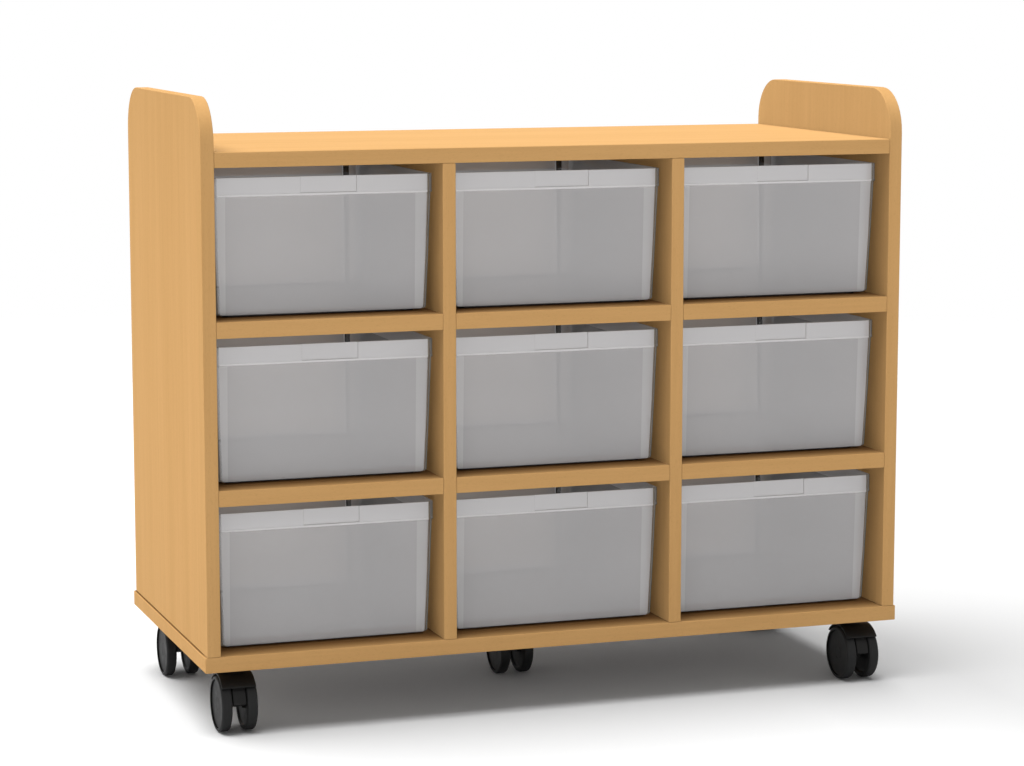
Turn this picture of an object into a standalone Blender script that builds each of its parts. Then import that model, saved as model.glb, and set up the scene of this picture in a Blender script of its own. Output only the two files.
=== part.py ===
"""Mobile bin cart: a wooden carcass of three by three cells on five twin-wheel castors, with nine clear bins.

Metres, +Z up, the front faces -Y. The origin lies on the floor, under the middle of the base panel.
"""
import math

import bmesh
import bpy

# Carcass
cell_width = 0.330
cell_height = 0.2139
carcass_depth = 0.484
side_thickness = 0.0195
divider_thickness = 0.0191
shelf_thickness = 0.0229
top_thickness = 0.0215
base_thickness = 0.0223
back_thickness = 0.012
side_rise = 0.0745
side_corner_radius = 0.064
base_side_overhang = 0.003
base_rear_overhang = 0.003
board_edge_easing = 0.0008
column_names = ("left", "middle", "right")
row_names = ("bottom", "middle", "top")

# Bins
bin_side_clearance = 0.0025
bin_head_room = 0.0167
bin_setback = 0.036
bin_rear_clearance = 0.054
bin_wall = 0.0022
bin_band_height = 0.0265
bin_band_proud = 0.002
bin_taper = 0.006
bin_front_corner_radius = 0.014
bin_rear_corner_radius = 0.022
bin_foot_corner_radius = 0.006
bin_foot_edge_radius = 0.007
grip_width = 0.0815
grip_offset = 0.008
grip_depth = 0.0008
grip_foot = 0.003

# Castors
castor_side_inset = 0.0475
castor_end_inset = 0.062
centre_castor_setback = 0.2655
castor_trail = 0.0195
wheel_diameter = 0.080
wheel_width = 0.0155
wheel_spacing = 0.0215
wheel_edge_radius = 0.0035
wheel_rim_thickness = 0.007
wheel_dish_depth = 0.005
wheel_hub_wall = 0.005
wheel_face_thickness = 0.004
wheel_groove_width = 0.0018
wheel_groove_depth = 0.0015
wheel_border_width = 0.0035
axle_diameter = 0.008
plate_side = 0.044
plate_thickness = 0.0025
plate_corner_radius = 0.005
kingpin_diameter = 0.010
kingpin_length = 0.030
kingpin_flange_diameter = 0.018
kingpin_flange_thickness = 0.002
kingpin_chamfer = 0.001
collar_diameter = 0.028
collar_rise = 0.0048
collar_sink = 0.0032
neck_inset = 0.00075
neck_length = 0.014
web_gap = 0.001
web_setback = 0.0015
web_wall = 0.004
web_front_angle = math.radians(7)
boss_wall = 0.0025
hood_clearance = 0.002
hood_thickness = 0.0025
hood_inset = 0.0015
hood_lip = 0.003
hood_angle = math.radians(98)

# Fits
joint_gap = 0.0003
running_clearance = 0.0003
cut_overrun = 0.002
weld_distance = 0.00001

# Facets
corner_steps = 4
edge_steps = 2
inner_edge_steps = 1
panel_corner_steps = 10
wheel_steps = 24
pin_steps = 12
hood_steps = 8
smooth_angle = math.radians(35)

# Sizes and places that follow from the values above
columns = len(column_names)
rows = len(row_names)
column_pitch = cell_width + divider_thickness
row_pitch = cell_height + shelf_thickness
inner_width = columns * cell_width + (columns - 1) * divider_thickness
inner_left = -inner_width / 2
carcass_width = inner_width + 2 * side_thickness
carcass_height = rows * cell_height + (rows - 1) * shelf_thickness + top_thickness
base_width = carcass_width + 2 * base_side_overhang
base_depth = carcass_depth + base_rear_overhang
bin_length = carcass_depth - back_thickness - bin_setback - bin_rear_clearance

wheel_radius = wheel_diameter / 2
rolling_radius = wheel_radius / math.cos(math.pi / wheel_steps)
axle_radius = axle_diameter / 2
kingpin_radius = kingpin_diameter / 2
web_thickness = wheel_spacing - 2 * web_gap
neck_diameter = web_thickness - 2 * neck_inset
hood_inside = rolling_radius + hood_clearance
hood_outside = hood_inside + hood_thickness
hood_width = wheel_spacing + 2 * (wheel_width - hood_inset)
collar_top = wheel_radius + hood_outside + collar_rise
collar_foot = wheel_radius + hood_outside - collar_sink
castor_height = collar_top + running_clearance + kingpin_flange_thickness + plate_thickness + 2 * joint_gap
pin_foot = castor_height - kingpin_length - running_clearance

front = -base_depth / 2
rear = front + carcass_depth
back_front = rear - back_thickness
base_underside = castor_height
base_top = base_underside + base_thickness
top_underside = base_top + carcass_height - top_thickness


def clear_scene():
    """An empty file to start from."""
    for old in list(bpy.data.objects):
        bpy.data.objects.remove(old, do_unlink=True)


def new_collection(name, hidden=False):
    """A collection in the scene; a hidden one holds cutters."""
    collection = bpy.data.collections.new(name)
    bpy.context.scene.collection.children.link(collection)
    collection.hide_render = hidden
    return collection


def new_material(name, colour, roughness, metallic=0.0, alpha=1.0):
    """A plain finish for one kind of piece."""
    material = bpy.data.materials.new(name)
    material.use_nodes = True
    shader = material.node_tree.nodes["Principled BSDF"]
    shader.inputs["Base Color"].default_value = (*colour, 1.0)
    shader.inputs["Roughness"].default_value = roughness
    shader.inputs["Metallic"].default_value = metallic
    shader.inputs["Alpha"].default_value = alpha
    return material


def add_piece(name, mesh, material, location, rotation=(0.0, 0.0, 0.0), parent=None):
    """One piece of the cart; its place is given in the world, also when it hangs under a parent."""
    piece = bpy.data.objects.new(name, mesh)
    if not mesh.materials:
        mesh.materials.append(material)
    piece.location = location
    piece.rotation_euler = rotation
    cart.objects.link(piece)
    if parent is not None:
        piece.parent = parent
        piece.location = [place - origin for place, origin in zip(location, parent.location)]
    return piece


def add_axis(name, location):
    """An empty on a castor's swivel axis, which carries what swivels."""
    axis = bpy.data.objects.new(name, None)
    axis.empty_display_size = wheel_radius
    axis.location = location
    cart.objects.link(axis)
    return axis


def finished_mesh(worker):
    """The mesh that an object's curve and modifiers make, in place and welded; the object is used up."""
    bpy.context.view_layer.update()
    evaluated = worker.evaluated_get(bpy.context.evaluated_depsgraph_get())
    mesh = bpy.data.meshes.new_from_object(evaluated)
    mesh.transform(worker.matrix_world)
    mesh.name = worker.name
    bpy.data.objects.remove(worker, do_unlink=True)
    cleaner = bmesh.new()
    cleaner.from_mesh(mesh)
    bmesh.ops.remove_doubles(cleaner, verts=cleaner.verts, dist=weld_distance)
    cleaner.to_mesh(mesh)
    cleaner.free()
    mesh.shade_smooth()
    mesh.set_sharp_from_angle(angle=smooth_angle)
    return mesh


def box_mesh(name, width, depth, height):
    """A box about its own middle."""
    shaper = bmesh.new()
    bmesh.ops.create_cube(shaper, size=1.0)
    bmesh.ops.scale(shaper, vec=(width, depth, height), verts=shaper.verts)
    mesh = bpy.data.meshes.new(name)
    shaper.to_mesh(mesh)
    shaper.free()
    return mesh


def rod_mesh(name, diameter, length, steps):
    """A round bar along Z about its own middle."""
    shaper = bmesh.new()
    bmesh.ops.create_cone(shaper, cap_ends=True, segments=steps, radius1=diameter / 2,
                          radius2=diameter / 2, depth=length)
    mesh = bpy.data.meshes.new(name)
    shaper.to_mesh(mesh)
    shaper.free()
    mesh.shade_smooth()
    mesh.set_sharp_from_angle(angle=smooth_angle)
    return mesh


def arc(centre, radius, start, end, steps):
    """Points along a round stretch, from one angle to another."""
    points = []
    for step in range(steps + 1):
        angle = start + (end - start) * step / steps
        points.append((centre[0] + radius * math.cos(angle), centre[1] + radius * math.sin(angle)))
    return points


def flat_mesh(name, outline, thickness):
    """A flat outline in the local XY plane, with its thickness along Z."""
    curve = bpy.data.curves.new(name, "CURVE")
    curve.dimensions = "2D"
    curve.fill_mode = "BOTH"
    curve.extrude = thickness / 2
    spline = curve.splines.new("POLY")
    spline.points.add(len(outline) - 1)
    for point, (x, y) in zip(spline.points, outline):
        point.co = (x, y, 0.0, 1.0)
    spline.use_cyclic_u = True
    worker = bpy.data.objects.new(name, curve)
    cart.objects.link(worker)
    return finished_mesh(worker)


def turned_mesh(name, profile, steps):
    """A profile of (radius, height) turned about Z, with a flat and not an edge facing local +X."""
    half_step = math.pi / steps
    mesh = bpy.data.meshes.new(name)
    points = [(radius * math.cos(half_step), radius * math.sin(half_step), height)
              for radius, height in profile]
    edges = [(index, index + 1) for index in range(len(points) - 1)]
    mesh.from_pydata(points, edges, [])
    worker = bpy.data.objects.new(name, mesh)
    cart.objects.link(worker)
    screw = worker.modifiers.new("turn", "SCREW")
    screw.axis = "Z"
    screw.steps = steps
    screw.render_steps = steps
    screw.use_merge_vertices = True
    screw.merge_threshold = weld_distance
    return finished_mesh(worker)


def combine(worker, other, operation):
    """Adds a union or a cut with another object to a worker."""
    boolean = worker.modifiers.new(operation.lower(), "BOOLEAN")
    boolean.operation = operation
    boolean.solver = "EXACT"
    boolean.object = other


def add_cutter(name, mesh, location, rotation=(0.0, 0.0, 0.0)):
    """A tool shape, kept beside the cart and out of sight."""
    cutter = bpy.data.objects.new(name, mesh)
    cutter.location = location
    cutter.rotation_euler = rotation
    cutter.hide_render = True
    cutter.display_type = "WIRE"
    cutters.objects.link(cutter)
    return cutter


def ease_edges(piece):
    """Takes the sharp edges off a board."""
    easing = piece.modifiers.new("eased edges", "BEVEL")
    easing.width = board_edge_easing
    easing.segments = 1


def board(name, x_span, y_span, z_span):
    """A flat board between two values on each axis, with its edges eased."""
    width, depth, height = (high - low for low, high in (x_span, y_span, z_span))
    middle = [(low + high) / 2 for low, high in (x_span, y_span, z_span)]
    ease_edges(add_piece(name, box_mesh(name, width, depth, height), wood, middle))


def side_panels():
    """The two sides stand on the base and rise above the top, with both upper corners rounded."""
    height = carcass_height + side_rise - joint_gap
    radius = side_corner_radius
    outline = [(0.0, 0.0), (carcass_depth, 0.0)]
    outline += arc((carcass_depth - radius, height - radius), radius, 0.0, math.pi / 2, panel_corner_steps)
    outline += arc((radius, height - radius), radius, math.pi / 2, math.pi, panel_corner_steps)
    for name, sign in (("left_side_panel", -1), ("right_side_panel", 1)):
        mesh = flat_mesh(name, outline, side_thickness)
        place = (sign * (inner_width + side_thickness) / 2, front, base_top + joint_gap)
        ease_edges(add_piece(name, mesh, wood, place, rotation=(math.pi / 2, 0.0, math.pi / 2)))


def top_and_base():
    """The top fits between the sides; the base runs under them and stands proud of them."""
    half_inner = inner_width / 2 - joint_gap
    board("top_panel", (-half_inner, half_inner), (front, rear),
          (top_underside, top_underside + top_thickness))
    board("base_panel", (-base_width / 2, base_width / 2), (front, front + base_depth),
          (base_underside, base_top))


def back_panel():
    """The back closes the rear between the sides, the base and the top."""
    half_inner = inner_width / 2 - joint_gap
    board("back_panel", (-half_inner, half_inner), (back_front, rear),
          (base_top + joint_gap, top_underside - joint_gap))


def dividers():
    """The uprights run from the base to the top."""
    for index, (left, right) in enumerate(zip(column_names, column_names[1:])):
        low = inner_left + index * column_pitch + cell_width
        board(f"divider_{left}_{right}", (low, low + divider_thickness), (front, back_front - joint_gap),
              (base_top + joint_gap, top_underside - joint_gap))


def shelves():
    """Short shelves fit between the uprights, one under each cell above the bottom row."""
    for row in range(1, rows):
        low = base_top + row * row_pitch - shelf_thickness
        for column, column_name in enumerate(column_names):
            left = inner_left + column * column_pitch
            board(f"shelf_{row_names[row]}_{column_name}",
                  (left + joint_gap, left + cell_width - joint_gap), (front, back_front - joint_gap),
                  (low, low + shelf_thickness))


def rounded_rectangle(width, length, front_radius, rear_radius):
    """Points of a rectangle with round corners, anticlockwise from above."""
    points = []
    for corner, (side, end) in enumerate(((1, -1), (1, 1), (-1, 1), (-1, -1))):
        radius = front_radius if end < 0 else rear_radius
        centre = (side * (width / 2 - radius), end * (length / 2 - radius))
        start = (corner - 1) * math.pi / 2
        points += arc(centre, radius, start, start + math.pi / 2, corner_steps)
    return points


def bin_mesh():
    """A moulded tub: one drafted wall with a proud band round the rim and a shallow grip at the front."""
    width = cell_width - 2 * bin_side_clearance
    height = cell_height - bin_head_room
    body_top = height - bin_band_height
    sections = [(0.0, 0.0, height), (0.0, 0.0, body_top), (bin_band_proud, bin_band_proud, body_top)]
    for step in range(edge_steps + 1):
        angle = math.pi / 2 * step / edge_steps
        inset = bin_band_proud + bin_taper + bin_foot_edge_radius * (1 - math.cos(angle))
        sections.append((inset, inset, bin_foot_edge_radius * (1 - math.sin(angle))))
    shaper = bmesh.new()
    rings = []
    for inset, shrink, level in sections:
        outline = rounded_rectangle(width - 2 * inset, bin_length - 2 * inset,
                                    max(bin_front_corner_radius - shrink, bin_foot_corner_radius),
                                    max(bin_rear_corner_radius - shrink, bin_foot_corner_radius))
        rings.append([shaper.verts.new((x, y, level)) for x, y in outline])
    for upper, lower in zip(rings, rings[1:]):
        for index in range(len(upper)):
            following = (index + 1) % len(upper)
            shaper.faces.new((upper[index], lower[index], lower[following], upper[following]))
    shaper.faces.new(list(reversed(rings[-1])))
    mesh = bpy.data.meshes.new("bin")
    shaper.to_mesh(mesh)
    shaper.free()
    worker = bpy.data.objects.new("bin", mesh)
    cart.objects.link(worker)
    shell = worker.modifiers.new("wall", "SOLIDIFY")
    shell.thickness = bin_wall
    shell.offset = -1.0
    shell.use_even_offset = True
    grip_height = bin_band_height - grip_foot + cut_overrun
    grip = add_cutter("grip_cutter", box_mesh("grip_cutter", grip_width, 2 * grip_depth, grip_height),
                      (grip_offset, -bin_length / 2, body_top + grip_foot + grip_height / 2))
    combine(worker, grip, "DIFFERENCE")
    return finished_mesh(worker)


def bins():
    """One bin in each cell, set back from the front edges and standing on the board below it."""
    mesh = bin_mesh()
    middle_y = front + bin_setback + bin_length / 2
    for row, row_name in enumerate(row_names):
        floor = base_top + row * row_pitch
        for column, column_name in enumerate(column_names):
            middle_x = inner_left + cell_width / 2 + column * column_pitch
            add_piece(f"bin_{row_name}_{column_name}", mesh, plastic,
                      (middle_x, middle_y, floor + joint_gap))


def wheel_mesh():
    """One wheel about its axle, from the hub end at the web out to the closed face, along Z."""
    inner = wheel_spacing / 2
    outer = inner + wheel_width
    hub_end = web_thickness / 2 + running_clearance
    bore = axle_radius + running_clearance
    bore_end = outer - wheel_face_thickness
    border = rolling_radius - wheel_edge_radius - wheel_border_width
    dish = inner + wheel_dish_depth
    hub_radius = axle_radius + wheel_hub_wall
    profile = [(0.0, outer), (border - wheel_groove_width, outer),
               (border - wheel_groove_width / 2, outer - wheel_groove_depth), (border, outer)]
    profile += [(radius, height) for height, radius in
                arc((outer - wheel_edge_radius, rolling_radius - wheel_edge_radius),
                    wheel_edge_radius, 0.0, math.pi / 2, edge_steps)]
    profile += [(radius, height) for height, radius in
                arc((inner + wheel_edge_radius, rolling_radius - wheel_edge_radius),
                    wheel_edge_radius, math.pi / 2, math.pi, inner_edge_steps)]
    profile += [(rolling_radius - wheel_rim_thickness, inner), (hub_radius, dish),
                (hub_radius, hub_end), (bore, hub_end), (bore, bore_end), (0.0, bore_end)]
    return turned_mesh("wheel", profile, wheel_steps)


def kingpin_mesh():
    """A pin through the plate with a flange under it, measured down from the base."""
    flange_top = -joint_gap - plate_thickness - joint_gap
    flange_foot = flange_top - kingpin_flange_thickness
    flange_radius = kingpin_flange_diameter / 2
    profile = [(0.0, -joint_gap), (kingpin_radius, -joint_gap), (kingpin_radius, flange_top),
               (flange_radius, flange_top), (flange_radius, flange_foot), (kingpin_radius, flange_foot),
               (kingpin_radius, -kingpin_length + kingpin_chamfer),
               (kingpin_radius - kingpin_chamfer, -kingpin_length), (0.0, -kingpin_length)]
    return turned_mesh("kingpin", profile, pin_steps)


def plate_mesh():
    """A square plate with round corners and a hole for the kingpin."""
    outline = rounded_rectangle(plate_side, plate_side, plate_corner_radius, plate_corner_radius)
    worker = bpy.data.objects.new("plate", flat_mesh("plate", outline, plate_thickness))
    cart.objects.link(worker)
    hole = add_cutter("plate_hole_cutter",
                      rod_mesh("plate_hole_cutter", kingpin_diameter + 2 * running_clearance,
                               plate_thickness + 2 * cut_overrun, pin_steps), (0.0, 0.0, 0.0))
    combine(worker, hole, "DIFFERENCE")
    return finished_mesh(worker)


def neck_mesh():
    """The turned collar under the kingpin's flange and the neck that hangs from it."""
    neck_foot = collar_foot - neck_length
    profile = [(0.0, collar_top), (collar_diameter / 2, collar_top), (collar_diameter / 2, collar_foot),
               (neck_diameter / 2, collar_foot), (neck_diameter / 2, neck_foot), (0.0, neck_foot)]
    return turned_mesh("neck_former", profile, pin_steps)


def web_outline(axle_place):
    """The web from the side: a half disc between the wheels, drawn in round the axle and the kingpin."""
    hood_middle = (hood_inside + hood_outside) / 2
    hood_front = (math.pi + hood_angle) / 2 - hood_lip / hood_middle
    rear_y = kingpin_radius + running_clearance + web_wall
    hood_rear = math.acos((rear_y + castor_trail) / hood_middle)
    outline = arc(axle_place, axle_radius + boss_wall, math.pi * 4 / 3, math.pi * 11 / 6, pin_steps // 2)
    outline.append((rear_y, pin_foot - web_wall))
    outline += arc(axle_place, hood_middle, hood_rear, hood_front, hood_steps)
    outline += arc(axle_place, wheel_radius - web_setback, hood_front, math.pi - web_front_angle,
                   hood_steps // 2)
    return outline


def hood_outline(axle_place):
    """The hood's section, an even wall round the tops of the wheels."""
    start = (math.pi - hood_angle) / 2
    outline = arc(axle_place, hood_outside, start, start + hood_angle, hood_steps)
    outline += arc(axle_place, hood_inside, start + hood_angle, start, hood_steps)
    return outline


def body_mesh():
    """The moulded swivel body about its kingpin axis, with heights from the floor."""
    axle_place = (-castor_trail, wheel_radius)
    upright = (math.pi / 2, 0.0, math.pi / 2)
    web = flat_mesh("swivel_body", web_outline(axle_place), web_thickness)
    body = bpy.data.objects.new("swivel_body", web)
    body.rotation_euler = upright
    cart.objects.link(body)
    hood = flat_mesh("hood_former", hood_outline(axle_place), hood_width)
    combine(body, add_cutter("hood_former", hood, (0.0, 0.0, 0.0), upright), "UNION")
    combine(body, add_cutter("neck_former", neck_mesh(), (0.0, 0.0, 0.0)), "UNION")

    bore_length = collar_top + cut_overrun - pin_foot
    kingpin_bore = rod_mesh("kingpin_bore_cutter", kingpin_diameter + 2 * running_clearance, bore_length,
                            pin_steps)
    combine(body, add_cutter("kingpin_bore_cutter", kingpin_bore,
                             (0.0, 0.0, pin_foot + bore_length / 2)), "DIFFERENCE")
    axle_bore = rod_mesh("axle_bore_cutter", axle_diameter + 2 * running_clearance,
                         web_thickness + 2 * cut_overrun, pin_steps)
    combine(body, add_cutter("axle_bore_cutter", axle_bore, (0.0, *axle_place),
                             (0.0, math.pi / 2, 0.0)), "DIFFERENCE")
    return finished_mesh(body)


def castors():
    """Five twin-wheel castors, four near the corners and one under the middle of the base."""
    side_x = carcass_width / 2 - castor_side_inset
    front_y = front + castor_end_inset
    rear_y = rear - castor_end_inset
    places = {"front_left": (-side_x, front_y), "front_right": (side_x, front_y),
              "rear_left": (-side_x, rear_y), "rear_right": (side_x, rear_y),
              "centre": (0.0, front + centre_castor_setback)}
    plate = plate_mesh()
    kingpin = kingpin_mesh()
    body = body_mesh()
    wheel = wheel_mesh()
    axle_length = wheel_spacing + 2 * (wheel_width - wheel_face_thickness - running_clearance)
    axle = rod_mesh("axle", axle_diameter, axle_length, pin_steps)
    for name, (x, y) in places.items():
        plate_level = castor_height - joint_gap - plate_thickness / 2
        add_piece(f"castor_{name}_plate", plate, steel, (x, y, plate_level))
        add_piece(f"castor_{name}_kingpin", kingpin, steel, (x, y, castor_height))
        axis = add_axis(f"castor_{name}_swivel_axis", (x, y, 0.0))
        add_piece(f"castor_{name}_body", body, nylon, (x, y, 0.0), parent=axis)
        axle_y = y - castor_trail
        across = (0.0, math.pi / 2, 0.0)
        add_piece(f"castor_{name}_axle", axle, steel, (x, axle_y, wheel_radius), rotation=across, parent=axis)
        for side, turn in (("left", -math.pi / 2), ("right", math.pi / 2)):
            add_piece(f"castor_{name}_wheel_{side}", wheel, tread, (x, axle_y, wheel_radius),
                      rotation=(0.0, turn, 0.0), parent=axis)


clear_scene()
cart = new_collection("mobile_bin_cart")
cutters = new_collection("cutters", hidden=True)
wood = new_material("beech_board", (0.60, 0.36, 0.15), 0.45)
plastic = new_material("cloudy_plastic", (0.52, 0.50, 0.49), 0.25, alpha=0.7)
nylon = new_material("black_nylon", (0.03, 0.03, 0.03), 0.45)
tread = new_material("wheel_black", (0.04, 0.04, 0.04), 0.5)
steel = new_material("black_steel", (0.05, 0.05, 0.05), 0.4, metallic=0.8)

side_panels()
top_and_base()
back_panel()
dividers()
shelves()
bins()
castors()
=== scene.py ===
import math

import bmesh
import bpy
from mathutils import Matrix, Vector


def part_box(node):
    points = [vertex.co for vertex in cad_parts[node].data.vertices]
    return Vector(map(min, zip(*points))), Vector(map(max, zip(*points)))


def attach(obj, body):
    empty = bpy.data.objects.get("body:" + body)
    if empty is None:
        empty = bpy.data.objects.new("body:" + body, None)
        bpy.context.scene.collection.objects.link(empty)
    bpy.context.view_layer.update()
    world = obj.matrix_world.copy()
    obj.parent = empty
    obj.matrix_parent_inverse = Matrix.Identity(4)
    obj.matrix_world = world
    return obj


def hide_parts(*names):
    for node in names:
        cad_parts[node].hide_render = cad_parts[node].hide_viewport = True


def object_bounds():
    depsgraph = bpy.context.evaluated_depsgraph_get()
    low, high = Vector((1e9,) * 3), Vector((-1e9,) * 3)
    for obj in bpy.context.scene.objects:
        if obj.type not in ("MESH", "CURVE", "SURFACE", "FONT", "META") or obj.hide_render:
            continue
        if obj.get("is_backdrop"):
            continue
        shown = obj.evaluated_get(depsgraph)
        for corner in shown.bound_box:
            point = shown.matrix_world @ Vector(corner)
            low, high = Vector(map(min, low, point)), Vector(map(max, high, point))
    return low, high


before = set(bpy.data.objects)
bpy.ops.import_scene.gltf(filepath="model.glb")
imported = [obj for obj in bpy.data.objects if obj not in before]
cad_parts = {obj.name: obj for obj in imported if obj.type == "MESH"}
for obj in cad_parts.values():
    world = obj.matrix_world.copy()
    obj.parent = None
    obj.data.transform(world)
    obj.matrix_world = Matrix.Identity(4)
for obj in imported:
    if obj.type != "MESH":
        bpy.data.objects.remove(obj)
cad_low, cad_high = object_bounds()


# The studio: a pale floor that runs out into white, a broad soft lamp overhead, weaker ones from the
# front and the left, and even light from all round. The camera stands to the left, a little above the cart.
camera_place = (-1.4392, -4.1678, 1.0656)
camera_turn, camera_tilt = 0.3332, -0.1384
lens_length, sensor_width = 102.585, 36.0
view_reach = 200.0
fill_level = 0.21
# Each lamp has its strength, its spread in degrees and the way in which its light travels.
lamps = (("overhead", 3.48, 62, (0.20, -0.10, -1.0)),
         ("frontal", 0.77, 30, (0.05, 1.0, 0.05)),
         ("from_left", 0.74, 20, (1.0, -0.05, 0.0)))
white = (1.0, 1.0, 1.0, 1.0)
floor_half, floor_drop = 9.0, 0.0005
floor_shade = (0.80, 0.80, 0.80, 1.0)
floor_bounce = (0.60, 0.60, 0.60, 1.0)
shade_start, shade_end = 0.35, 0.65
fade_start, fade_end = 2.5, 5.0


def own_material(name):
    """A new node material with its Principled shader, its nodes and its links."""
    material = bpy.data.materials.new(name)
    material.use_nodes = True
    nodes, links = material.node_tree.nodes, material.node_tree.links
    return material, nodes["Principled BSDF"], nodes, links


def node_with(nodes, kind, **settings):
    """A node of that kind with its settings, or its inputs by name."""
    node = nodes.new(kind)
    for key, value in settings.items():
        if hasattr(node, key):
            setattr(node, key, value)
        else:
            node.inputs[key.replace("_", " ")].default_value = value
    return node


def put(links, value, socket):
    """Links a socket to another one, or sets it to a plain value."""
    if isinstance(value, bpy.types.NodeSocket):
        links.new(value, socket)
    else:
        socket.default_value = value


def calculated(nodes, links, operation, one, other):
    """What a Math node makes of two values."""
    result = node_with(nodes, "ShaderNodeMath", operation=operation)
    put(links, one, result.inputs[0])
    put(links, other, result.inputs[1])
    return result.outputs[0]


def ranged(nodes, links, value, **limits):
    """A value moved from one range to another and held at its ends."""
    moved = nodes.new("ShaderNodeMapRange")
    for label, limit in limits.items():
        put(links, limit, moved.inputs[label.replace("_", " ")])
    links.new(value, moved.inputs["Value"])
    return moved.outputs["Result"]


def mixed(nodes, links, factor, one, other, data_type="RGBA", blend_type="MIX"):
    """One colour or value changed towards another."""
    mix = node_with(nodes, "ShaderNodeMix", data_type=data_type, blend_type=blend_type)
    for label, value in (("Factor", factor), ("A", one), ("B", other)):
        put(links, value, mix.inputs[label])
    return mix.outputs["Result"]


def place_along(nodes, links, axis):
    """Where a point of the piece lies along one axis."""
    where = nodes.new("ShaderNodeTexCoord")
    split = nodes.new("ShaderNodeSeparateXYZ")
    links.new(where.outputs["Object"], split.inputs["Vector"])
    return split.outputs[axis]


def seen_rays(nodes, links):
    """1 for what the camera, a mirror or glass sees, and 0 for the light itself."""
    path = nodes.new("ShaderNodeLightPath")
    seen = path.outputs["Is Camera Ray"]
    for other in ("Is Glossy Ray", "Is Transmission Ray"):
        seen = calculated(nodes, links, "MAXIMUM", seen, path.outputs[other])
    return seen


scene = bpy.context.scene
scene.view_settings.view_transform = "Standard"
camera = bpy.data.objects.new("camera", bpy.data.cameras.new("camera"))
camera.data.sensor_width = sensor_width
camera.data.lens = lens_length
camera.data.clip_end = view_reach
camera.location = camera_place
aim = Vector((math.sin(camera_turn) * math.cos(camera_tilt),
              math.cos(camera_turn) * math.cos(camera_tilt), math.sin(camera_tilt)))
camera.rotation_euler = aim.to_track_quat("-Z", "Y").to_euler()
scene.collection.objects.link(camera)
scene.camera = camera

world = bpy.data.worlds.new("studio")
world.use_nodes = True
scene.world = world
nodes, links = world.node_tree.nodes, world.node_tree.links
backdrop = nodes["Background"]
backdrop.inputs["Color"].default_value = white
brightness = ranged(nodes, links, seen_rays(nodes, links), To_Min=fill_level, To_Max=1.0)
links.new(brightness, backdrop.inputs["Strength"])

for name, strength, spread, travel in lamps:
    lamp = bpy.data.objects.new(name, bpy.data.lights.new(name, "SUN"))
    lamp.data.energy = strength
    lamp.data.angle = math.radians(spread)
    lamp.rotation_euler = Vector(travel).to_track_quat("-Z", "Y").to_euler()
    lamp.visible_glossy = False
    scene.collection.objects.link(lamp)

paper, shader, nodes, links = own_material("floor_paper")
# Painted shade: to the camera the floor turns darker from x 0.35 to 0.65 and beyond, which deepens the cart's
# shadow on its right.
beside = ranged(nodes, links, place_along(nodes, links, "X"), From_Min=shade_start, From_Max=shade_end)
seen_tone = mixed(nodes, links, beside, white, floor_shade)
tone = mixed(nodes, links, seen_rays(nodes, links), floor_bounce, seen_tone)
links.new(tone, shader.inputs["Base Color"])
shader.inputs["Roughness"].default_value = 1.0
shader.inputs["Specular IOR Level"].default_value = 0.0
where = nodes.new("ShaderNodeTexCoord")
reach = node_with(nodes, "ShaderNodeVectorMath", operation="LENGTH")
links.new(where.outputs["Object"], reach.inputs[0])
fade = ranged(nodes, links, reach.outputs["Value"], From_Min=fade_start, From_Max=fade_end)
clear = nodes.new("ShaderNodeBsdfTransparent")
blend = nodes.new("ShaderNodeMixShader")
links.new(fade, blend.inputs["Fac"])
links.new(shader.outputs[0], blend.inputs[1])
links.new(clear.outputs[0], blend.inputs[2])
links.new(blend.outputs[0], nodes["Material Output"].inputs["Surface"])
floor_mesh = bpy.data.meshes.new("floor")
floor_mesh.from_pydata([(across * floor_half, back * floor_half, -floor_drop)
                        for across, back in ((-1, -1), (1, -1), (1, 1), (-1, 1))], [], [(0, 1, 2, 3)])
floor_mesh.materials.append(paper)
floor = bpy.data.objects.new("floor", floor_mesh)
scene.collection.objects.link(floor)
floor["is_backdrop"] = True


# The carcass: thirteen boards of beech-faced particle board, with matching edging on the edges that
# show. The grain runs up the sides, dividers and back, and along the top, the base and the shelves.
board_easing = 0.0006
weld_distance = 0.00001
flat_angle, arris_angle, board_crease = math.radians(1), math.radians(60), math.radians(20)
least_upward = 0.9
beech_pale, beech_deep = (0.775, 0.450, 0.179, 1.0), (0.705, 0.398, 0.152, 1.0)
figure_scale, streak_scale, fleck_scale = 22.0, 190.0, 1300.0
figure_stretch, fleck_stretch = (1.0, 1.0, 0.035), (1.0, 1.0, 0.16)
streak_share, fleck_share = 0.45, 0.35
fleck_tint = (0.80, 0.74, 0.66, 1.0)
# Painted shade on the upper faces of the base and shelves, from the front edge in to the bins.
shelf_shade_tint = (0.36, 0.31, 0.28, 1.0)
shelf_shade_start, shelf_shade_end = -0.010, 0.036
cast_tone, cast_share = (0.56, 0.58, 0.60, 1.0), 0.85
beech_gloss = 0.02


def new_group(name, kind, inputs, outputs):
    """A node group with its named inputs and outputs, and the sockets of both its ends."""
    group = bpy.data.node_groups.new(name, kind)
    for in_out, sockets in (("INPUT", inputs), ("OUTPUT", outputs)):
        for label, socket in sockets.items():
            group.interface.new_socket(label, in_out=in_out, socket_type="NodeSocket" + socket)
    start, end = group.nodes.new("NodeGroupInput"), group.nodes.new("NodeGroupOutput")
    return group, start.outputs, end.inputs


def mapped(nodes, links, place, **settings):
    """A place turned or stretched."""
    mapping = node_with(nodes, "ShaderNodeMapping", **settings)
    links.new(place, mapping.inputs["Vector"])
    return mapping.outputs["Vector"]


def noise(nodes, links, place, scale, **settings):
    """Soft noise laid over a place."""
    texture = node_with(nodes, "ShaderNodeTexNoise", **settings)
    links.new(place, texture.inputs["Vector"])
    put(links, scale, texture.inputs["Scale"])
    return texture.outputs["Fac"]


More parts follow.
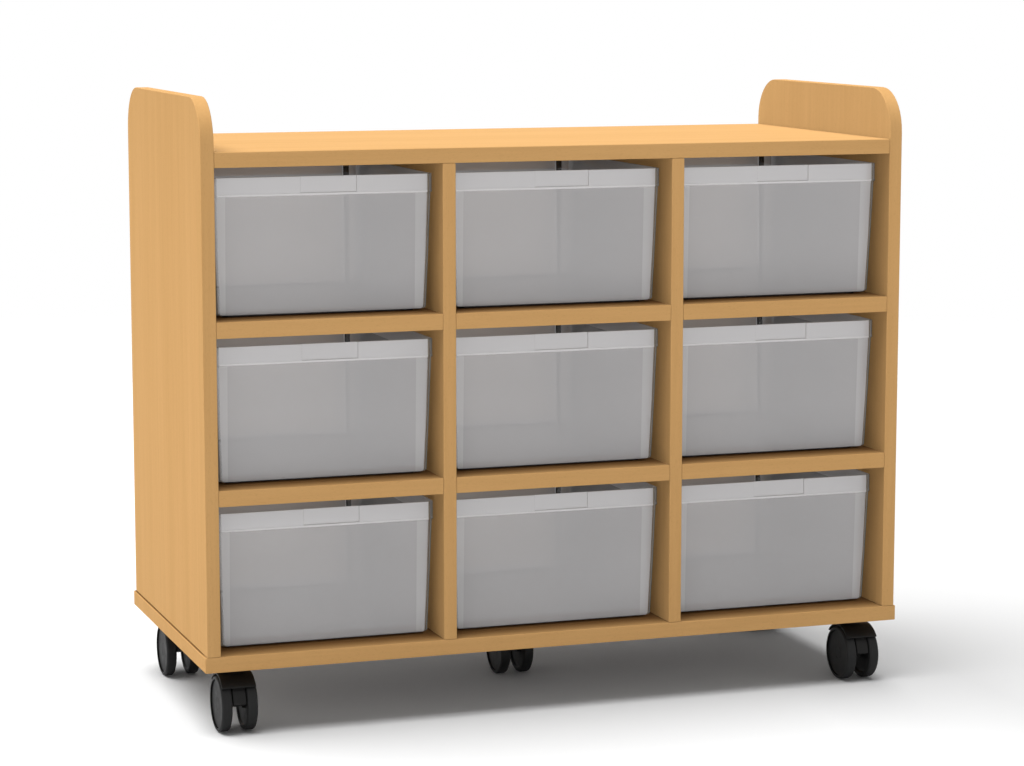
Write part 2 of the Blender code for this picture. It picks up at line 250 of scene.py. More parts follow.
def raised(nodes, links, shader, height, **settings):
    """Gives a shader the relief of a height."""
    bump = node_with(nodes, "ShaderNodeBump", **settings)
    links.new(height, bump.inputs["Height"])
    links.new(bump.outputs["Normal"], shader.inputs["Normal"])


def beech_grain():
    """Colour, roughness and height of oiled beech; the grain runs along Z of the place put in."""
    group, start, end = new_group("beech_grain", "ShaderNodeTree",
                                  {"Place": "Vector", "Pale": "Color", "Deep": "Color"},
                                  {"Colour": "Color", "Roughness": "Float", "Height": "Float"})
    nodes, links = group.nodes, group.links
    stretched = mapped(nodes, links, start["Place"], Scale=figure_stretch)
    figure = noise(nodes, links, stretched, figure_scale, Detail=4.0, Roughness=0.55, Distortion=0.6)
    streaks = noise(nodes, links, stretched, streak_scale, Detail=3.0, Roughness=0.6)
    both = mixed(nodes, links, streak_share, figure, streaks, data_type="FLOAT")
    spread = ranged(nodes, links, both, From_Min=0.30, From_Max=0.70)
    tone = mixed(nodes, links, spread, start["Pale"], start["Deep"])
    short = mapped(nodes, links, start["Place"], Scale=fleck_stretch)
    flecks = noise(nodes, links, short, fleck_scale, Detail=1.0, Roughness=0.5)
    fleck_mask = ranged(nodes, links, flecks, From_Min=0.60, From_Max=0.72)
    faint = calculated(nodes, links, "MULTIPLY", fleck_mask, fleck_share)
    specked = mixed(nodes, links, faint, tone, fleck_tint, blend_type="MULTIPLY")
    links.new(specked, end["Colour"])
    links.new(ranged(nodes, links, spread, To_Min=0.62, To_Max=0.76), end["Roughness"])
    links.new(streaks, end["Height"])
    return group


grain = beech_grain()


def painted_shelf_shade(nodes, links, colour):
    """The wood's colour with painted shade: darker and browner from the front edge inwards to where the bins
    stand.
    """
    shade_amount = ranged(nodes, links, place_along(nodes, links, "Y"),
                    From_Min=cad_low.y + shelf_shade_start, From_Max=cad_low.y + shelf_shade_end)
    return mixed(nodes, links, shade_amount, colour, shelf_shade_tint, blend_type="MULTIPLY")


def beech(name, turn, upper_side=False):
    """Beech-faced board with its grain turned to run along the piece."""
    material, shader, nodes, links = own_material(name)
    where = nodes.new("ShaderNodeTexCoord")
    wood = node_with(nodes, "ShaderNodeGroup", node_tree=grain, Pale=beech_pale, Deep=beech_deep)
    links.new(mapped(nodes, links, where.outputs["Object"], Rotation=turn), wood.inputs["Place"])
    colour = wood.outputs["Colour"]
    # Painted shade on the upward faces, darker from the front edge in to where the bins stand.
    if upper_side:
        colour = painted_shelf_shade(nodes, links, colour)
    # What the wood throws on its neighbours is greyer than the wood, or it would tint the clear bins.
    path = nodes.new("ShaderNodeLightPath")
    cast = calculated(nodes, links, "MULTIPLY", path.outputs["Is Diffuse Ray"], cast_share)
    links.new(mixed(nodes, links, cast, colour, cast_tone), shader.inputs["Base Color"])
    links.new(wood.outputs["Roughness"], shader.inputs["Roughness"])
    raised(nodes, links, shader, wood.outputs["Height"], Strength=0.12, Distance=0.0003)
    shader.inputs["Specular IOR Level"].default_value = beech_gloss
    return material


def finished(shaper, name, crease=None):
    """The mesh of a bmesh, shaded smooth up to the angle of a crease where one is given."""
    mesh = bpy.data.meshes.new(name)
    shaper.to_mesh(mesh)
    shaper.free()
    if crease:
        mesh.shade_smooth()
        mesh.set_sharp_from_angle(angle=crease)
    return mesh


def round_edges(shaper, least_angle, rounding):
    """Rounds the edges of a bmesh that turn by more than an angle."""
    edges = [edge for edge in shaper.edges if edge.calc_face_angle(0.0) > least_angle]
    bmesh.ops.bevel(shaper, geom=edges, offset=rounding, offset_type="OFFSET", segments=2, profile=0.5,
                    affect="EDGES", clamp_overlap=True)


def eased(node):
    """The board of a CAD node with its arrises taken off, as edging is after trimming."""
    shaper = bmesh.new()
    shaper.from_mesh(node.data)
    bmesh.ops.remove_doubles(shaper, verts=shaper.verts, dist=weld_distance)
    bmesh.ops.dissolve_limit(shaper, angle_limit=flat_angle, verts=shaper.verts, edges=shaper.edges)
    round_edges(shaper, arris_angle, board_easing)
    return finished(shaper, "board", board_crease)


def placed(name, mesh, materials, place, body, slot, *nodes):
    """A piece with its place in its mesh, which rides on a body and stands for its CAD nodes."""
    own = mesh.copy()
    own.name = name
    own.transform(place)
    for material in materials:
        own.materials.append(material)
    piece = bpy.data.objects.new(name, own)
    scene.collection.objects.link(piece)
    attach(piece, body)
    if nodes:
        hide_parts(*nodes)
    return piece


upright_beech = beech("upright_beech", (0.0, 0.0, 0.0))
level_beech = beech("level_beech", (0.0, math.pi / 2, 0.0))
shaded_beech = beech("shaded_beech", (0.0, math.pi / 2, 0.0), upper_side=True)
for name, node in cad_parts.items():
    if "panel" in name or name.startswith(("divider", "shelf")):
        level = name.startswith(("top", "base", "shelf"))
        board = eased(node)
        finishes = [level_beech if level else upright_beech]
        if name.startswith(("base", "shelf")):
            finishes.append(shaded_beech)
            # The upward faces of the base and shelves take the beech with painted shade.
            for face in board.polygons:
                face.material_index = int(face.normal.z > least_upward)
        placed(f"board_{name}", board, finishes, Matrix.Identity(4), "cabinet", "board", name)


# The bins: nine tubs moulded in clear plastic that has gone cloudy. Each has a band round its rim,
# drafted walls, soft corners and a shallow grip in the band, and slides in loose on its shelf.
bin_wall = 0.0022
band_height = 0.0265
band_proud = 0.002
wall_draft = 0.006
outer_wall_shares, inner_wall_shares = (0.02, 0.5, 0.97), (0.03, 0.5, 1.0)
front_corner = 0.0095
rear_corner = 0.0265
foot_corner = 0.006
foot_edge = 0.0050
foot_lift = 0.0030
foot_set_in = 0.010
bead_proud = 0.0005
bead_height = 0.0024
lip_round = 0.0009
rib_width = 0.0016
grip_left, grip_right = -0.03275, 0.04875
grip_sink = 0.0014
grip_fall = 0.0007
grip_foot = 0.003
# Painted light: widths of the lighter strips on the front face beside the front corners.
painted_light_margin_left, painted_light_margin_right = 0.0120, 0.0170
painted_light_margin_edge = 0.0012
lip_facets, bead_facets, foot_facets, corner_facets = 4, 3, 6, 12
shaded_corner_facets, shaded_foot_facets = (1, 2, 3), (1, 2, 3)
tub_crease = math.radians(50)
clear_part, wall_part, band_part, painted_shade_part, bend_part, painted_light_part = range(6)
cloud_dark_shares, cloud_light_shares = (0.96, 0.935, 0.94), (1.0, 0.98, 0.99)
soft_cast, full_cast = 0.15, 1.0
# The near-black plastic is painted shade, and the one veiled 0.95 is painted light.
# Each plastic has its veil seen square on, the share of it that dims the light, and its paleness.
plastics = (("clear_plastic", 0.34, soft_cast, 0.87), ("wall_plastic", 0.40, soft_cast, 0.92),
            ("band_plastic", 0.93, soft_cast, 0.78), ("slit_plastic", 0.80, full_cast, 0.04),
            ("bend_plastic", 0.28, soft_cast, 0.84), ("edge_plastic", 0.95, soft_cast, 0.92))
# The grey-brown of the painted shade on the bends at the front corners.
bend_painted_shade = (0.30, 0.255, 0.19, 1.0)
plastic_ior = 1.49


def quarter(steps):
    """The sine, and what the cosine falls short of 1, at even steps through a right angle."""
    turns = [math.pi / 2 * step / steps for step in range(steps + 1)]
    return [(math.sin(turn), 1 - math.cos(turn)) for turn in turns]


def outer_wall(height):
    """How far in from the rim, and how high, the outside goes from the lip down to the foot."""
    body_top = height - band_height
    fall = body_top - foot_edge - foot_lift
    foot = band_proud + wall_draft
    recess = foot + foot_edge + foot_set_in
    levels = [(bead_proud + lip_round * (1 - sine), height - lip_round * rest)
              for sine, rest in quarter(lip_facets)]
    levels += [(bead_proud, body_top + grip_foot + grip_fall), (bead_proud, body_top + grip_foot)]
    levels += [(bead_proud * (1 - sine), body_top + bead_height + bead_proud * (1 - rest))
               for sine, rest in quarter(bead_facets)]
    levels += [(lip_round * rest, body_top + lip_round * (1 - sine)) for sine, rest in quarter(lip_facets)]
    levels += [(band_proud - lip_round / 2, body_top), (band_proud, body_top - lip_round / 2)]
    levels += [(band_proud + wall_draft * share, body_top - fall * share) for share in outer_wall_shares]
    levels += [(foot + foot_edge * rest, foot_lift + foot_edge * (1 - sine))
               for sine, rest in quarter(foot_facets)]
    return levels + [(recess, foot_lift), (recess, 0.0)]


def inner_wall(height):
    """The same from the floor inside up to the lip."""
    body_top = height - band_height
    foot = band_proud + wall_draft + bin_wall
    edge = foot_edge - bin_wall
    floor_level = bin_wall + foot_lift / 2
    levels = [(foot + edge * (1 - sine), floor_level + edge * rest) for sine, rest in quarter(foot_facets)]
    levels += [(foot - wall_draft * share, foot_edge + (body_top - foot_edge) * share)
               for share in inner_wall_shares]
    return levels + [(band_proud + bin_wall, height - lip_round), (band_proud + bin_wall - lip_round, height)]


def tub_ring(width, length, inset, smallest, stops):
    """One level of a tub from above, anticlockwise, with extra points on the front face."""
    half_x, half_y = width / 2 - inset, length / 2 - inset
    points = [(x, -half_y) for x in stops]
    for side, end, start in ((1, -1, -90), (1, 1, 0), (-1, 1, 90), (-1, -1, 180)):
        radius = max((front_corner if end < 0 else rear_corner) - inset, smallest)
        for step in range(corner_facets + 1):
            angle = math.radians(start + 90 * step / corner_facets)
            points.append((side * (half_x - radius) + radius * math.cos(angle),
                           end * (half_y - radius) + radius * math.sin(angle)))
        if start == 0:
            points += [(half_x - radius - rib_width, half_y), (rib_width + radius - half_x, half_y)]
    return points


def tub_rings(shaper, width, length, height, stops):
    """All the levels of a tub, down its outside and up its inside, and how many are outside."""
    outer, inner = outer_wall(height), inner_wall(height)
    grip_spots = (stops.index(grip_left), stops.index(grip_right))
    grip_level = height - band_height + grip_foot + grip_fall / 2
    rings = []
    for index, (inset, level) in enumerate(outer + inner):
        outside = index < len(outer)
        smallest = foot_corner if outside else foot_corner - bin_wall
        ring = []
        for spot, (x, y) in enumerate(tub_ring(width, length, inset, smallest, stops)):
            if outside and spot in grip_spots and level > grip_level:
                y += grip_sink
            ring.append(shaper.verts.new((x, y, level)))
        rings.append(ring)
    return rings, len(outer)


def tub(width, length, height):
    """One bin about the middle of its foot, with a finish for each of its parts."""
    body_top = height - band_height
    # Painted light: beside the clear window the front face takes the paler, more veiled wall plastic, 12 mm
    # wide at the left and 17 mm at the right.
    clear_left = front_corner + painted_light_margin_left - width / 2
    clear_right = width / 2 - front_corner - painted_light_margin_right
    stops = (clear_left - painted_light_margin_edge, clear_left, grip_left - grip_fall, grip_left,
             grip_right, grip_right + grip_fall, clear_right, clear_right + painted_light_margin_edge)
    # A level starts with the stops along the front. The four corners follow, with two rib points
    # after the first of the rear ones. The last two levels outside are the recess under the foot.
    front_right = len(stops)
    rear_right = front_right + corner_facets + 1
    rear_left = rear_right + corner_facets + 3
    front_left = rear_left + corner_facets + 1
    # Painted shade: near-black strips in the rear corners, next to the back wall.
    shaded_corners = [rear_right + corner_facets - facet for facet in shaded_corner_facets]
    shaded_corners += [rear_left + facet - 1 for facet in shaded_corner_facets]
    bends = [start + facet for start in (front_right, front_left) for facet in range(corner_facets)]
    ribs = (rear_right + corner_facets, rear_left - 1)
    shaper = bmesh.new()
    rings, inside_start = tub_rings(shaper, width, length, height, stops)
    # Painted shade: the underside, the recess under the foot and thin lines along the rear foot, outside and
    # inside, take the near-black plastic.
    underside = (inside_start - 3, inside_start - 2)
    foot_top = inside_start - foot_facets - 3
    shaded_foot_lines = [foot_top + facet for facet in shaded_foot_facets]
    shaded_foot_lines += [inside_start + facet for facet in range(foot_facets)]
    count = len(rings[0])
    for index, ring in enumerate(rings):
        if index != inside_start - 1:
            beyond = rings[(index + 1) % len(rings)]
            for spot in range(count):
                after = (spot + 1) % count
                face = shaper.faces.new((ring[spot], beyond[spot], beyond[after], ring[after]))
                middle = face.calc_center_median()
                outside = index < inside_start
                on_bead = outside and 0 < middle.z - body_top < bead_height + bead_proud
                inner_side = not outside and abs(middle.x) > width / 2 - front_corner
                shaded_foot_line = index in shaded_foot_lines and middle.y > length / 4
                # Painted shade on the rear corner strips, the rear foot lines and the underside.
                if spot in shaded_corners or shaded_foot_line or index in underside:
                    face.material_index = painted_shade_part
                elif spot in bends:
                    face.material_index = bend_part
                # Painted light: the pale, nearly opaque plastic gives highlight lines on the rear ribs and
                # the bead, and lightens the inner side bands.
                elif spot in ribs or on_bead or (inner_side and middle.z > body_top):
                    face.material_index = painted_light_part
                elif middle.z > body_top - lip_round and middle.y < length / 2 - rear_corner:
                    face.material_index = band_part
                elif middle.z > body_top - lip_round:
                    face.material_index = clear_part
                elif clear_left < middle.x < clear_right and middle.y < -length / 2 + foot_edge * 2:
                    face.material_index = clear_part
                else:
                    face.material_index = wall_part
    shaper.faces.new(list(reversed(rings[inside_start - 1]))).material_index = painted_shade_part
    shaper.faces.new(rings[inside_start]).material_index = wall_part
    return finished(shaper, "tub", tub_crease)


def moulded_skin():
    """Tone, roughness and height of moulded plastic: faint clouds of tone over a fine matt texture."""
    group, start, end = new_group("moulded_skin", "ShaderNodeTree",
                                  {"Place": "Vector", "Cloud Size": "Float", "Grain Size": "Float",
                                   "Smoothest": "Float", "Roughest": "Float"},
                                  {"Tone": "Float", "Roughness": "Float", "Height": "Float"})
    nodes, links = group.nodes, group.links
    cloud_scale = calculated(nodes, links, "DIVIDE", 1.0, start["Cloud Size"])
    grain_scale = calculated(nodes, links, "DIVIDE", 1.0, start["Grain Size"])
    cloud = noise(nodes, links, start["Place"], cloud_scale, Detail=3.0, Roughness=0.5)
    fine = noise(nodes, links, start["Place"], grain_scale, Detail=2.0, Roughness=0.6)
    sheen = ranged(nodes, links, cloud, From_Min=0.3, From_Max=0.7, To_Min=start["Smoothest"],
                   To_Max=start["Roughest"])
    links.new(cloud, end["Tone"])
    links.new(sheen, end["Roughness"])
    links.new(fine, end["Height"])
    return group


skin = moulded_skin()


def moulded(name, dark, light, cloud_size, grain_size, smoothest, roughest, relief, gloss=0.5):
    """A finish between two tones, for plastic and steel, with its parts for what is added to it."""
    material, shader, nodes, links = own_material(name)
    where = nodes.new("ShaderNodeTexCoord")
    surface = node_with(nodes, "ShaderNodeGroup", node_tree=skin, Cloud_Size=cloud_size,
                        Grain_Size=grain_size, Smoothest=smoothest, Roughest=roughest)
    links.new(where.outputs["Object"], surface.inputs["Place"])
    tone = mixed(nodes, links, surface.outputs["Tone"], (*dark, 1.0), (*light, 1.0))
    links.new(tone, shader.inputs["Base Color"])
    links.new(surface.outputs["Roughness"], shader.inputs["Roughness"])
    raised(nodes, links, shader, surface.outputs["Height"], Strength=relief, Distance=0.0002)
    shader.inputs["Specular IOR Level"].default_value = gloss
    return material, shader, nodes, links


clouded = []
for name, veil, cast, pale in plastics:
    material, shader, nodes, links = moulded(
        name, dark=[pale * share for share in cloud_dark_shares],
        light=[pale * share for share in cloud_light_shares], cloud_size=0.09, grain_size=0.0009,
        smoothest=0.07, roughest=0.12, relief=0.02, gloss=1.0)
    if name == "bend_plastic":
        # Painted shade and painted reflection of the dark wood beside them: the bends' colour turns
        # grey-brown where they turn away from the eye, so their tone moves with the view.
        turned_away = node_with(nodes, "ShaderNodeLayerWeight", Blend=0.5)
        shaded = ranged(nodes, links, turned_away.outputs["Facing"], From_Min=0.06, From_Max=0.14)
        clouds = shader.inputs["Base Color"].links[0].from_socket
        links.new(mixed(nodes, links, shaded, clouds, bend_painted_shade), shader.inputs["Base Color"])
    path = nodes.new("ShaderNodeLightPath").outputs
    light = calculated(nodes, links, "MAXIMUM", path["Is Shadow Ray"], path["Is Diffuse Ray"])
    glancing = node_with(nodes, "ShaderNodeFresnel", IOR=plastic_ior)
    body = ranged(nodes, links, glancing.outputs["Fac"], To_Min=veil, To_Max=1.0)
    passing = ranged(nodes, links, light, To_Min=1.0, To_Max=cast)
    links.new(calculated(nodes, links, "MULTIPLY", body, passing), shader.inputs["Alpha"])
    clouded.append(material)

shaped = None
for row in ("bottom", "middle", "top"):
    for column in ("left", "middle", "right"):
        node = f"bin_{row}_{column}"
        low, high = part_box(node)
        if shaped is None:
            shaped = tub(*(high - low))
        foot = Matrix.Translation(((low.x + high.x) / 2, (low.y + high.y) / 2, low.z))
        placed(f"tub_{row}_{column}", shaped, clouded, foot, node, "bin_plastic", node)


# The castors: five black twin-wheel units. A moulded swivel body with a hood over both wheels turns
# on a steel kingpin, which is riveted into a steel plate, and the wheels share one steel axle.
castors = ("front_left", "front_right", "rear_left", "rear_right", "centre")
castor_trail = 0.0195
play = 0.0003
wheel_radius = 0.040
wheel_width = 0.0155
wheel_spacing = 0.0215
shoulder_round = 0.0035
rim_wall = 0.007
rim_slope, rim_slope_depth = 0.002, 0.0025
disc_dish = 0.005
face_wall = 0.004
border_width = 0.0016
face_sink = 0.0026
cap_step = 0.0004
axle_radius = 0.004
hub_wall = 0.005
hub_slope, hub_slope_depth = 0.002, 0.001
pin_radius = 0.005
pin_foot = 0.0647
web_gap = 0.001
web_width = wheel_spacing - 2 * web_gap
web_setback = 0.0015
web_wall = 0.004
web_front_angle = math.radians(7)
web_rounding = 0.0022
boss_wall = 0.0025
boss_start, boss_end = math.pi * 4 / 3, math.pi * 11 / 6
cad_wheel_sides = 24
hood_clearance = 0.002
hood_thickness = 0.0025
hood_inset = 0.0015
hood_inside = wheel_radius / math.cos(math.pi / cad_wheel_sides) + hood_clearance
hood_outside = hood_inside + hood_thickness
hood_width = wheel_spacing + 2 * wheel_width - 2 * hood_inset
hood_angle = math.radians(98)
hood_lip = 0.003
collar_rise, collar_sink = 0.0048, 0.0032
collar_top = wheel_radius + hood_outside + collar_rise
collar_foot = wheel_radius + hood_outside - collar_sink
collar_radius = 0.014
neck_inset = 0.00075
neck_radius = web_width / 2 - neck_inset
neck_length = 0.014
moulded_edge = 0.0006
boss_facets, web_top_facets, web_front_facets, hood_facets = 10, 24, 12, 32
neck_facets, bore_facets, shoulder_facets, wheel_facets = 48, 32, 8, 72
prism_edge_angle, turned_crease = math.radians(30), math.radians(35)


def turned(name, profile, steps):
    """A profile of (radius, height) turned about Z; its ends lie on the axis."""
    shaper = bmesh.new()
    rings = []
    for radius, height in profile:
        if radius < weld_distance:
            rings.append([shaper.verts.new((0.0, 0.0, height))])
        else:
            rings.append([shaper.verts.new((radius * math.cos(math.tau * step / steps),
                                            radius * math.sin(math.tau * step / steps), height))
                          for step in range(steps)])
    for one, two in zip(rings, rings[1:]):
        for step in range(steps):
            after = (step + 1) % steps
            corners = [one[step % len(one)], two[step % len(two)],
                       two[after % len(two)], one[after % len(one)]]
            shaper.faces.new(list(dict.fromkeys(corners)))
    bmesh.ops.recalc_face_normals(shaper, faces=shaper.faces)
    return finished(shaper, name, turned_crease)


def drill(name, radius, start, end, steps):
    """A plain rod along Z from one height to another, to cut a bore with."""
    return turned(name, [(0.0, start), (radius, start), (radius, end), (0.0, end)], steps)


def rounded_prism(name, outline, width, rounding):
    """A closed outline in the YZ plane made thick along X, with its edges rounded."""
    shaper = bmesh.new()
    near = [shaper.verts.new((-width / 2, y, z)) for y, z in outline]
    far = [shaper.verts.new((width / 2, y, z)) for y, z in outline]
    count = len(outline)
    shaper.faces.new(near)
    shaper.faces.new(list(reversed(far)))
    for spot in range(count):
        after = (spot + 1) % count
        shaper.faces.new((near[spot], far[spot], far[after], near[after]))
    bmesh.ops.recalc_face_normals(shaper, faces=shaper.faces)
    round_edges(shaper, prism_edge_angle, rounding)
    return finished(shaper, name)


def arc(centre, radius, start, end, steps):
    """Points along a round stretch, from one angle to another."""
    return [(centre[0] + radius * math.cos(start + (end - start) * step / steps),
             centre[1] + radius * math.sin(start + (end - start) * step / steps))
            for step in range(steps + 1)]


def made_plain(helpers):
    """The mesh of the first helper after its modifiers; the helpers are removed."""
    for helper in helpers:
        scene.collection.objects.link(helper)
    bpy.context.view_layer.update()
    mesh = bpy.data.meshes.new_from_object(helpers[0].evaluated_get(bpy.context.evaluated_depsgraph_get()))
    for helper in helpers:
        bpy.data.objects.remove(helper)
    return mesh


def joined(name, base, changes):
    """One mesh from a base and others that are added to it or cut from it."""
    helpers = [bpy.data.objects.new(name, base)]
    for operation, mesh in changes:
        helper = bpy.data.objects.new(operation.lower(), mesh)
        change = helpers[0].modifiers.new(operation.lower(), "BOOLEAN")
        change.operation = operation
        change.solver = "EXACT"
        change.object = helper
        helpers.append(helper)
    shaper = bmesh.new()
    shaper.from_mesh(made_plain(helpers))
    bmesh.ops.remove_doubles(shaper, verts=shaper.verts, dist=weld_distance)
    bmesh.ops.dissolve_degenerate(shaper, dist=weld_distance, edges=shaper.edges)
    return finished(shaper, name, turned_crease)


def swivel_body():
    """The moulded body about its kingpin axis, with heights from the floor."""
    axle = (-castor_trail, wheel_radius)
    middle = (hood_inside + hood_outside) / 2
    front_end = (math.pi + hood_angle) / 2 - hood_lip / middle
    rear_face = pin_radius + play + web_wall
    rear_end = math.acos((rear_face + castor_trail) / middle)
    outline = arc(axle, axle_radius + boss_wall, boss_start, boss_end, boss_facets)
    outline.append((rear_face, pin_foot - web_wall))
    outline += arc(axle, middle, rear_end, front_end, web_top_facets)
    outline += arc(axle, wheel_radius - web_setback, front_end, math.pi - web_front_angle, web_front_facets)
    web = rounded_prism("web", outline, web_width, web_rounding)
    start = (math.pi - hood_angle) / 2
    section = arc(axle, hood_outside, start, start + hood_angle, hood_facets)
    section += arc(axle, hood_inside, start + hood_angle, start, hood_facets)
    hood = rounded_prism("hood", section, hood_width, moulded_edge)
    edge = moulded_edge
    neck_foot = collar_foot - neck_length
    neck = turned("neck", [(0.0, collar_top), (collar_radius - edge, collar_top),
                           (collar_radius, collar_top - edge), (collar_radius, collar_foot + edge),
                           (collar_radius - edge, collar_foot), (neck_radius, collar_foot),
                           (neck_radius, neck_foot), (0.0, neck_foot)], neck_facets)
    pin_bore = drill("pin_bore", pin_radius + play, collar_top + edge, pin_foot, bore_facets)
    half = web_width / 2 + edge
    axle_bore = drill("axle_bore", axle_radius + play, -half, half, bore_facets)
    axle_bore.transform(Matrix.Translation((0.0, *axle)) @ Matrix.Rotation(math.pi / 2, 4, "Y"))
    return joined("swivel_body", web, [("UNION", hood), ("UNION", neck), ("DIFFERENCE", pin_bore),
                                       ("DIFFERENCE", axle_bore)])


def wheel():
    """One wheel with its axle along Z: the closed face above, the hub's end at the web below."""
    inner, outer = wheel_spacing / 2, wheel_spacing / 2 + wheel_width
    border = wheel_radius - shoulder_round - border_width
    shoulder = wheel_radius - shoulder_round
    rim = wheel_radius - rim_wall
    hub = axle_radius + hub_wall
    bore = axle_radius + play
    hub_end = web_width / 2 + play
    cap = hub + cap_step
    disc = outer - face_sink
    dish = inner + disc_dish
    profile = [(0.0, disc), (cap - cap_step, disc), (cap, disc - cap_step), (cap + cap_step, disc),
               (border - 2 * cap_step, disc), (border - cap_step, disc + cap_step),
               (border, outer - cap_step / 2)]
    for level, start in ((outer - shoulder_round, 0.0), (inner + shoulder_round, math.pi / 2)):
        bend = arc((level, shoulder), shoulder_round, start, start + math.pi / 2, shoulder_facets)
        profile += [(radius, height) for height, radius in bend]
    profile += [(rim, inner), (rim - rim_slope, inner + rim_slope_depth), (hub + hub_slope, dish),
                (hub, dish - hub_slope_depth), (hub, hub_end), (bore, hub_end),
                (bore, outer - face_wall), (0.0, outer - face_wall)]
    mesh = turned("wheel", profile, wheel_facets)
    # Painted shade: the steep wall round the sunk disc takes the near-black finish.
    for face in mesh.polygons:
        if border - cap_step < face.center.xy.length < border and face.center.z > disc:
            face.material_index = 1
    return mesh


nylon, *_ = moulded("black_nylon", dark=(0.006, 0.0057, 0.0054), light=(0.011, 0.0105, 0.010),
                    cloud_size=0.015, grain_size=0.0006, smoothest=0.46, roughest=0.58, relief=0.10,
                    gloss=0.20)
tyre, *_ = moulded("wheel_black", dark=(0.012, 0.012, 0.012), light=(0.020, 0.020, 0.020),
                   cloud_size=0.012, grain_size=0.0006, smoothest=0.50, roughest=0.62, relief=0.08,
                   gloss=0.20)
# Near-black painted shade for the wall round each wheel's sunk disc.
recess, *_ = moulded("painted_recess_shade", dark=(0.0015, 0.0015, 0.0015), light=(0.0025, 0.0025, 0.0025),
                     cloud_size=0.012, grain_size=0.0006, smoothest=0.80, roughest=0.90, relief=0.04,
                     gloss=0.05)
body_mesh = swivel_body()
wheel_mesh = wheel()
for castor in castors:
    low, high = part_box(f"castor_{castor}_kingpin")
    x, y = (low.x + high.x) / 2, (low.y + high.y) / 2
    placed(f"{castor}_swivel_body", body_mesh, [nylon], Matrix.Translation((x, y, 0.0)),
           f"castor_{castor}_swivel", "castor_nylon", f"castor_{castor}_body")
    for side, turn in (("left", -math.pi / 2), ("right", math.pi / 2)):
        place = Matrix.Translation((x, y - castor_trail, wheel_radius)) @ Matrix.Rotation(turn, 4, "Y")
        node = f"castor_{castor}_wheel_{side}"
        placed(f"{castor}_wheel_{side}", wheel_mesh, [tyre, recess], place, node, "castor_wheel", node)


# The steel of the castors: a square plate under the base, held up by four cross-head screws, the
# kingpin riveted through its middle with a flange beneath, and the axle, all in blackened steel.
plate_corner = 0.005
steel_edge = 0.0003
pin_chamfer = 3 * steel_edge
flange_radius = 0.009
flange_thickness = 0.002
seat_gap = 0.0003
screw_spacing = 0.032
screw_radius = 0.0038
screw_height = 0.0018
dome_power = 0.8
cross_width = 0.0012
cross_reach = 0.0050
cross_depth = 0.0009
plate_facets, pin_facets, axle_facets, dome_facets, screw_facets = 8, 48, 40, 8, 32
screw_crease = math.radians(40)
screw_seed = 7


def pierced_plate(side, thickness):
    """The plate about its middle, with its hole for the kingpin."""
    half = side / 2 - plate_corner
    outline = []
    for across, along, start in ((1, 1, 0), (-1, 1, 90), (-1, -1, 180), (1, -1, 270)):
        centre = (across * half, along * half)
        outline += arc(centre, plate_corner, math.radians(start), math.radians(start + 90), plate_facets)
    slab = rounded_prism("plate", outline, thickness, steel_edge)
    slab.transform(Matrix.Rotation(math.pi / 2, 4, "Y"))
    hole = drill("hole", pin_radius + play, thickness, -thickness, pin_facets)
    return joined("plate", slab, [("DIFFERENCE", hole)])


def kingpin(top, foot, flange_top):
    """The pin about its own axis, with heights from the floor."""
    edge = steel_edge
    flange_foot = flange_top - flange_thickness
    profile = [(0.0, top), (pin_radius, top), (pin_radius, flange_top), (flange_radius - edge, flange_top),
               (flange_radius, flange_top - edge), (flange_radius, flange_foot + edge),
               (flange_radius - edge, flange_foot), (pin_radius, flange_foot),
               (pin_radius, foot + pin_chamfer), (pin_radius - pin_chamfer, foot), (0.0, foot)]
    return turned("kingpin", profile, pin_facets)


def axle_rod(length, radius):
    """The axle about its middle, along X, with its ends chamfered."""
    edge = steel_edge
    rod = turned("axle", [(0.0, length / 2), (radius - edge, length / 2), (radius, length / 2 - edge),
                          (radius, edge - length / 2), (radius - edge, -length / 2),
                          (0.0, -length / 2)], axle_facets)
    rod.transform(Matrix.Rotation(math.pi / 2, 4, "Y"))
    return rod


def cross_screw():
    """The head of one screw, hanging from the underside of its plate, with a cross cut in it."""
    dome = arc((0.0, 0.0), 1.0, 0.0, math.pi / 2, dome_facets)[:-1]
    profile = [(screw_radius * across, -screw_height * down ** dome_power) for across, down in dome]
    head = turned("screw", [(0.0, 0.0), *profile, (0.0, -screw_height)], screw_facets)
    bars = []
    for size in ((cross_reach, cross_width), (cross_width, cross_reach)):
        shaper = bmesh.new()
        bmesh.ops.create_cube(shaper, size=1.0)
        bar = finished(shaper, "bar")
        cut = Matrix.Diagonal((*size, 2 * cross_depth, 1.0))
        bar.transform(Matrix.Translation((0.0, 0.0, -screw_height)) @ cut)
        bars.append(("DIFFERENCE", bar))
    return joined("screw", head, bars)


